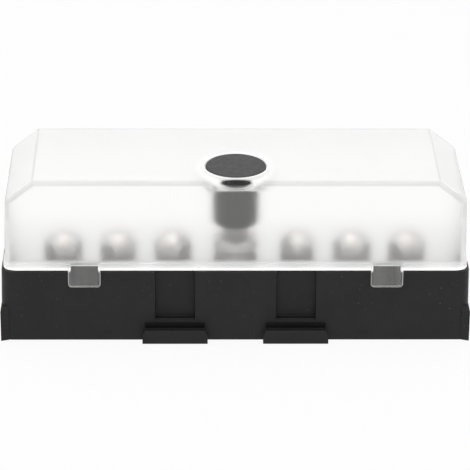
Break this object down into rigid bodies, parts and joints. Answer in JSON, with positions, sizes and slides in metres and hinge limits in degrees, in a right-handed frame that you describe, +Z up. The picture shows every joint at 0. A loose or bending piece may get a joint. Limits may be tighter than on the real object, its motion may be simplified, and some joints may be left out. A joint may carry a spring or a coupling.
{
  "type": "covered bus bar",
  "caption": "Long low bus bar for battery cables: black tray, row of studs with cap nuts under a frosted cover, held down by a round knob on the centre stud.",
  "frame": {"origin": "centre of the footprint, on the underside of the tray", "axes": "+X along the row of studs to the right, -Y to the front where the row of studs is nearer, +Z up"},
  "size_m": [0.1826, 0.0676, 0.0673],
  "materials": {
    "black_moulding": "fine moulded, satin",
    "tinned_bar": "tin plated, satin silver",
    "polished_steel": "polished stainless",
    "frosted_cover": "frosted, translucent",
    "knob_moulding": "fine moulded, matt",
    "brass": "turned",
    "nylon": "natural"
  },
  "bodies": {
    "tray": {"base": "black_moulding", "bus_bar": "tinned_bar", "stud_1": "polished_steel", "stud_2": "polished_steel", "stud_3": "polished_steel", "stud_4": "polished_steel", "stud_5": "polished_steel", "stud_6": "polished_steel", "centre_stud": "polished_steel", "flat_washer_1": "polished_steel", "flat_washer_2": "polished_steel", "flat_washer_3": "polished_steel", "flat_washer_4": "polished_steel", "flat_washer_5": "polished_steel", "flat_washer_6": "polished_steel", "centre_flat_washer": "polished_steel", "spring_washer_1": "polished_steel", "spring_washer_2": "polished_steel", "spring_washer_3": "polished_steel", "spring_washer_4": "polished_steel", "spring_washer_5": "polished_steel", "spring_washer_6": "polished_steel", "centre_spring_washer": "polished_steel", "cap_nut_1": "polished_steel", "cap_nut_2": "polished_steel", "cap_nut_3": "polished_steel", "cap_nut_4": "polished_steel", "cap_nut_5": "polished_steel", "cap_nut_6": "polished_steel", "centre_nut": "polished_steel", "centre_lock_nut": "polished_steel"},
    "lid": {"cover": "frosted_cover"},
    "slip_washer": {"knob_washer": "nylon"},
    "hand_knob": {"knob": "knob_moulding", "knob_insert": "brass"}
  },
  "joints": [
    {"name": "lid_lift", "type": "slide", "parent": "tray", "child": "lid", "axis": [0, 0, 1], "range_m": [0, 0.045]},
    {"name": "knob_turn", "type": "hinge", "parent": "lid", "child": "slip_washer", "pos_m": [0, -0.01395, 0.0625], "axis": [0, 0, 1], "range_deg": [0, 1900]},
    {"name": "knob_rise", "type": "slide", "parent": "slip_washer", "child": "hand_knob", "axis": [0, 0, 1], "range_m": [0, 0.008]}
  ],
  "couplings": [
    {"joint": "knob_rise", "follows": "knob_turn", "m_per_rad": 0.00023873}
  ]
}
